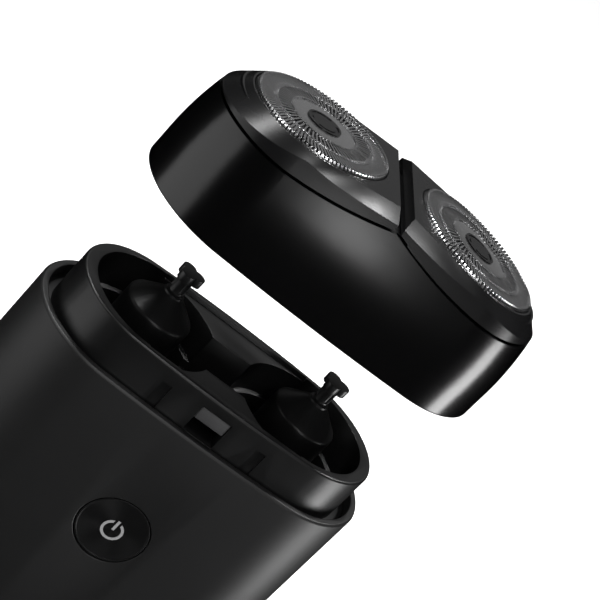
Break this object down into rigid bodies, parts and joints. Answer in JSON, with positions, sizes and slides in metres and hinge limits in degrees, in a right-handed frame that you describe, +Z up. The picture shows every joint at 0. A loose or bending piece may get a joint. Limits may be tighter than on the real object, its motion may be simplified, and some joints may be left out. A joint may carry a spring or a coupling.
{
  "type": "electric shaver",
  "caption": "Pocket rotary shaver: oval soft-touch handle with power button and hair chamber, sprung drive spindles, and a lift-off twin-cutter head with tilting panels.",
  "frame": {"origin": "centre of the base that it stands on, midway across its width and depth", "axes": "+Z up from the base to the head, +X to the right across the width, -Y the front with the power button"},
  "size_m": [0.06, 0.0296, 0.1291],
  "materials": {
    "soft_touch_black": "soft-touch matte",
    "satin_black": "satin moulded",
    "gloss_black": "polished",
    "semi_gloss_black": "semi-gloss",
    "spun_black_metal": "concentric spun",
    "pale_icon": "pad print",
    "foil_steel": "etched and polished",
    "steel": "turned",
    "spring_steel": "drawn wire",
    "black_rubber": "moulded silicone",
    "frame_grey": "moulded",
    "white_acetal": "moulded",
    "board_green": "solder mask",
    "cell_wrap": "shrink wrap",
    "chip_black": "epoxy",
    "nickel": "plated",
    "light_lens": "frosted"
  },
  "bodies": {
    "handle": {"sleeve": "soft_touch_black", "base_cap": "satin_black", "charging_inlet": "nickel", "inlet_tongue": "chip_black", "inlet_board": "board_green", "charge_light": "light_lens", "battery_cell": "cell_wrap", "battery_tabs": "nickel", "chassis": "frame_grey", "circuit_board": "board_green", "board_chips": "chip_black", "push_switch": "steel", "button_spring": "spring_steel", "motor_can": "steel", "motor_end_bell": "chip_black", "motor_terminals": "nickel", "gear_plate": "frame_grey", "gear_plate_screws": "steel", "left_gear_axle": "steel", "right_gear_axle": "steel", "deck": "satin_black", "chamber_floor": "satin_black", "deck_seal": "black_rubber", "catch_spring": "spring_steel"},
    "power_button": {"power_button": "spun_black_metal", "power_icon": "pale_icon"},
    "head_catch": {"head_catch": "frame_grey"},
    "motor_rotor": {"motor_shaft": "steel", "motor_pinion": "white_acetal"},
    "left_drive": {"left_drive_gear": "white_acetal", "left_spindle_spring": "spring_steel"},
    "left_spindle": {"left_bell_spindle": "satin_black"},
    "right_drive": {"right_drive_gear": "white_acetal", "right_spindle_spring": "spring_steel"},
    "right_spindle": {"right_bell_spindle": "satin_black"},
    "head": {"head_shell": "gloss_black", "head_frame": "frame_grey", "left_panel_pins": "steel", "left_panel_springs": "spring_steel", "right_panel_pins": "steel", "right_panel_springs": "spring_steel"},
    "left_panel": {"left_head_panel": "semi_gloss_black", "left_foil_spring": "spring_steel"},
    "left_foil": {"left_foil": "foil_steel", "left_foil_cap": "semi_gloss_black"},
    "left_cutter": {"left_cutter": "steel", "left_cutter_carrier": "frame_grey"},
    "left_retainer": {"left_cutter_retainer": "frame_grey"},
    "right_panel": {"right_head_panel": "semi_gloss_black", "right_foil_spring": "spring_steel"},
    "right_foil": {"right_foil": "foil_steel", "right_foil_cap": "semi_gloss_black"},
    "right_cutter": {"right_cutter": "steel", "right_cutter_carrier": "frame_grey"},
    "right_retainer": {"right_cutter_retainer": "frame_grey"}
  },
  "joints": [
    {"name": "head_lift", "type": "slide", "parent": "handle", "child": "head", "axis": [0, 0, 1], "range_m": [-0.02465, 0.03]},
    {"name": "power_press", "type": "slide", "parent": "handle", "child": "power_button", "axis": [0, 1, 0], "range_m": [0, 0.0005], "stiffness_N_per_m": 1500, "deforming": ["button_spring"]},
    {"name": "catch_press", "type": "slide", "parent": "handle", "child": "head_catch", "axis": [0, 1, 0], "range_m": [0, 0.0012], "stiffness_N_per_m": 600, "deforming": ["catch_spring"]},
    {"name": "motor_spin", "type": "hinge", "parent": "handle", "child": "motor_rotor", "pos_m": [0, 0, 0.074], "axis": [0, 0, 1], "continuous": true},
    {"name": "left_drive_spin", "type": "hinge", "parent": "handle", "child": "left_drive", "pos_m": [-0.01375, 0, 0.074], "axis": [0, 0, 1], "continuous": true},
    {"name": "left_spindle_plunge", "type": "slide", "parent": "left_drive", "child": "left_spindle", "axis": [0, 0, 1], "range_m": [-0.0018, 0], "stiffness_N_per_m": 400, "deforming": ["left_spindle_spring"]},
    {"name": "left_panel_tilt", "type": "hinge", "parent": "head", "child": "left_panel", "pos_m": [-0.01375, 0, 0.12235], "axis": [0, 1, 0], "range_deg": [-1.5, 1.5], "stiffness_Nm_per_rad": 0.8, "deforming": ["left_panel_springs"]},
    {"name": "left_foil_float", "type": "slide", "parent": "left_panel", "child": "left_foil", "axis": [-0.0872, 0, 0.9962], "range_m": [-0.001, 0], "stiffness_N_per_m": 400, "deforming": ["left_foil_spring"]},
    {"name": "left_cutter_spin", "type": "hinge", "parent": "left_foil", "child": "left_cutter", "pos_m": [-0.01437, 0, 0.12759], "axis": [-0.0872, 0, 0.9962], "continuous": true},
    {"name": "left_retainer_turn", "type": "hinge", "parent": "left_panel", "child": "left_retainer", "pos_m": [-0.01437, 0, 0.12759], "axis": [-0.0872, 0, 0.9962], "range_deg": [0, 25]},
    {"name": "right_drive_spin", "type": "hinge", "parent": "handle", "child": "right_drive", "pos_m": [0.01375, 0, 0.074], "axis": [0, 0, 1], "continuous": true},
    {"name": "right_spindle_plunge", "type": "slide", "parent": "right_drive", "child": "right_spindle", "axis": [0, 0, 1], "range_m": [-0.0018, 0], "stiffness_N_per_m": 400, "deforming": ["right_spindle_spring"]},
    {"name": "right_panel_tilt", "type": "hinge", "parent": "head", "child": "right_panel", "pos_m": [0.01375, 0, 0.12235], "axis": [0, 1, 0], "range_deg": [-1.5, 1.5], "stiffness_Nm_per_rad": 0.8, "deforming": ["right_panel_springs"]},
    {"name": "right_foil_float", "type": "slide", "parent": "right_panel", "child": "right_foil", "axis": [0.0872, 0, 0.9962], "range_m": [-0.001, 0], "stiffness_N_per_m": 400, "deforming": ["right_foil_spring"]},
    {"name": "right_cutter_spin", "type": "hinge", "parent": "right_foil", "child": "right_cutter", "pos_m": [0.01437, 0, 0.12759], "axis": [0.0872, 0, 0.9962], "continuous": true},
    {"name": "right_retainer_turn", "type": "hinge", "parent": "right_panel", "child": "right_retainer", "pos_m": [0.01437, 0, 0.12759], "axis": [0.0872, 0, 0.9962], "range_deg": [0, 25]}
  ],
  "couplings": [
    {"joint": "left_drive_spin", "follows": "motor_spin", "ratio": -0.30952},
    {"joint": "left_cutter_spin", "follows": "motor_spin", "ratio": -0.30952},
    {"joint": "right_drive_spin", "follows": "motor_spin", "ratio": -0.30952},
    {"joint": "right_cutter_spin", "follows": "motor_spin", "ratio": -0.30952}
  ]
}
